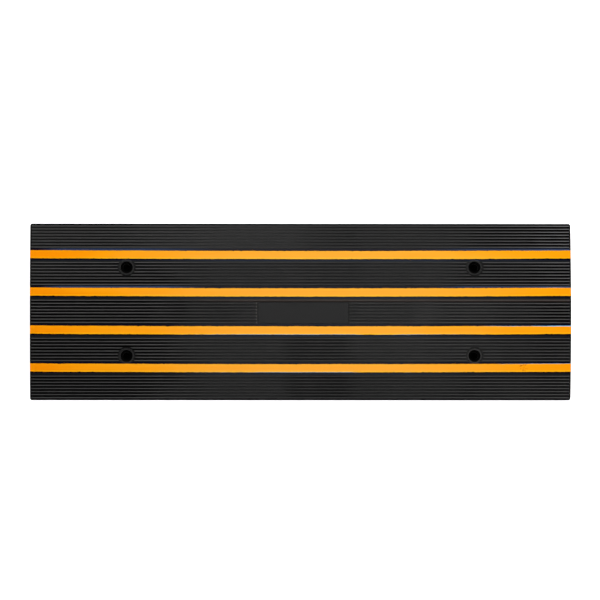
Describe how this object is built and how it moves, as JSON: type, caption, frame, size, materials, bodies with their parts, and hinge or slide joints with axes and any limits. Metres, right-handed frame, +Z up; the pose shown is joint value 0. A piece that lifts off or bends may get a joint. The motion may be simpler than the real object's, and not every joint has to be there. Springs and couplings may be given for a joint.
{
  "type": "rubber speed bump",
  "caption": "Low arched rubber speed bump with lengthwise ribs, yellow reflective strips and counterbored bolt holes for anchoring it to a road.",
  "frame": {"origin": "centre of the flat base, on the road surface", "axes": "+X along the bump, +Y across it in the direction a wheel crosses, +Z up"},
  "size_m": [1, 0.327, 0.04],
  "materials": {
    "black_rubber": "moulded, lightly dusty, dull",
    "reflective_film": "amber retroreflective strip, satin",
    "ring_steel": "blackened, with rubber flash"
  },
  "bodies": {
    "root": {"rubber_body": "black_rubber", "reflective_strip_rear_outer": "reflective_film", "reflective_strip_rear_inner": "reflective_film", "reflective_strip_front_inner": "reflective_film", "reflective_strip_front_outer": "reflective_film", "bolt_ring_rear_left": "ring_steel", "bolt_ring_rear_right": "ring_steel", "bolt_ring_front_left": "ring_steel", "bolt_ring_front_right": "ring_steel"}
  },
  "joints": []
}
